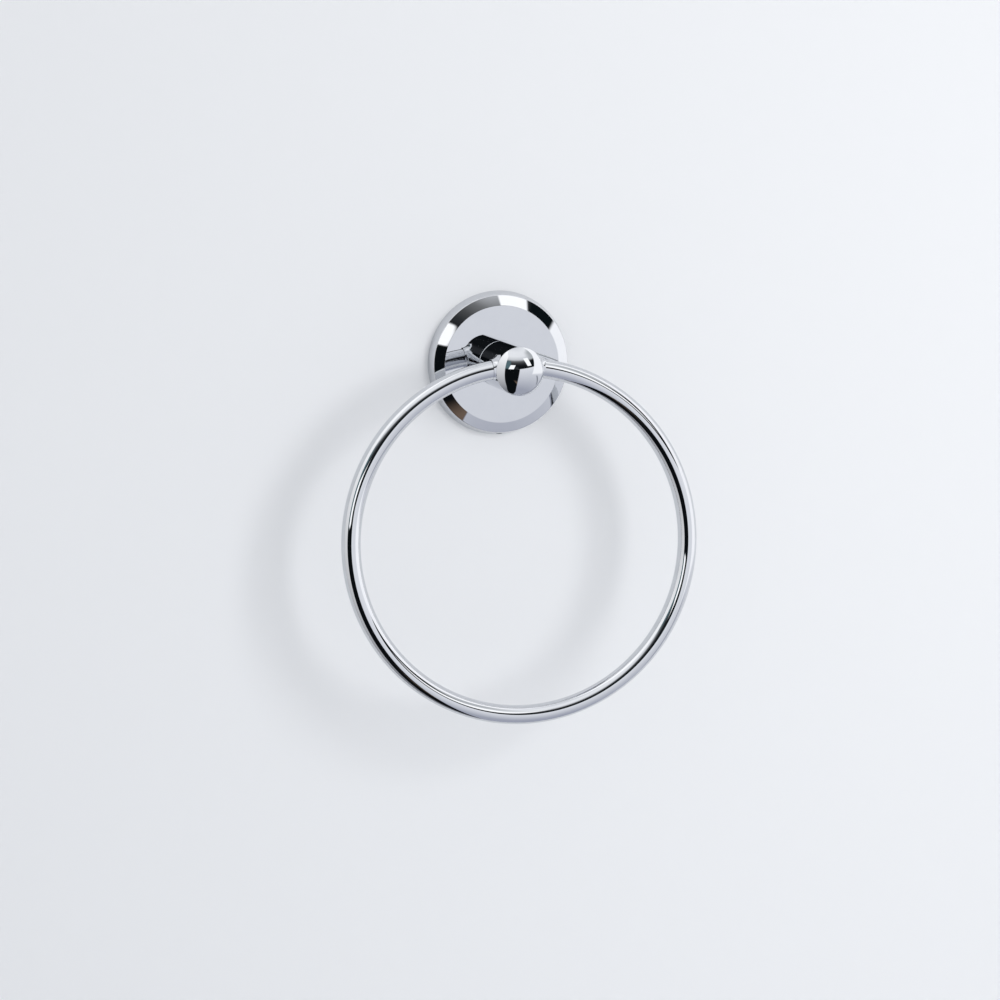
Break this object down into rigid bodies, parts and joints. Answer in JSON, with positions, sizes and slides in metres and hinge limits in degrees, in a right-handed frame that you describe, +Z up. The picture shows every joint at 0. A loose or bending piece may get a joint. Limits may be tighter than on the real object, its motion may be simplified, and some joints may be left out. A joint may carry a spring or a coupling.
{
  "type": "towel ring",
  "caption": "Wall-mounted towel ring: round bevelled flange, short post with a domed end, and a polished tube ring hanging from the post.",
  "frame": {"origin": "centre of the flange on the wall plane", "axes": "+Y into the wall, -Y out into the room, +Z up, +X to the viewer's right"},
  "size_m": [0.173, 0.0896, 0.2008],
  "materials": {
    "chrome": "mirror polished",
    "plated_steel": "bright zinc plated",
    "stainless": "plain stainless",
    "nylon": "moulded nylon"
  },
  "bodies": {
    "root": {"flange": "chrome", "post": "chrome", "ring": "chrome", "post_screw": "plated_steel", "post_washer": "plated_steel", "wall_bracket": "plated_steel", "wall_screw_upper": "plated_steel", "wall_screw_lower": "plated_steel", "grub_screw": "stainless", "wall_plug_upper": "nylon", "wall_plug_lower": "nylon"}
  },
  "joints": []
}
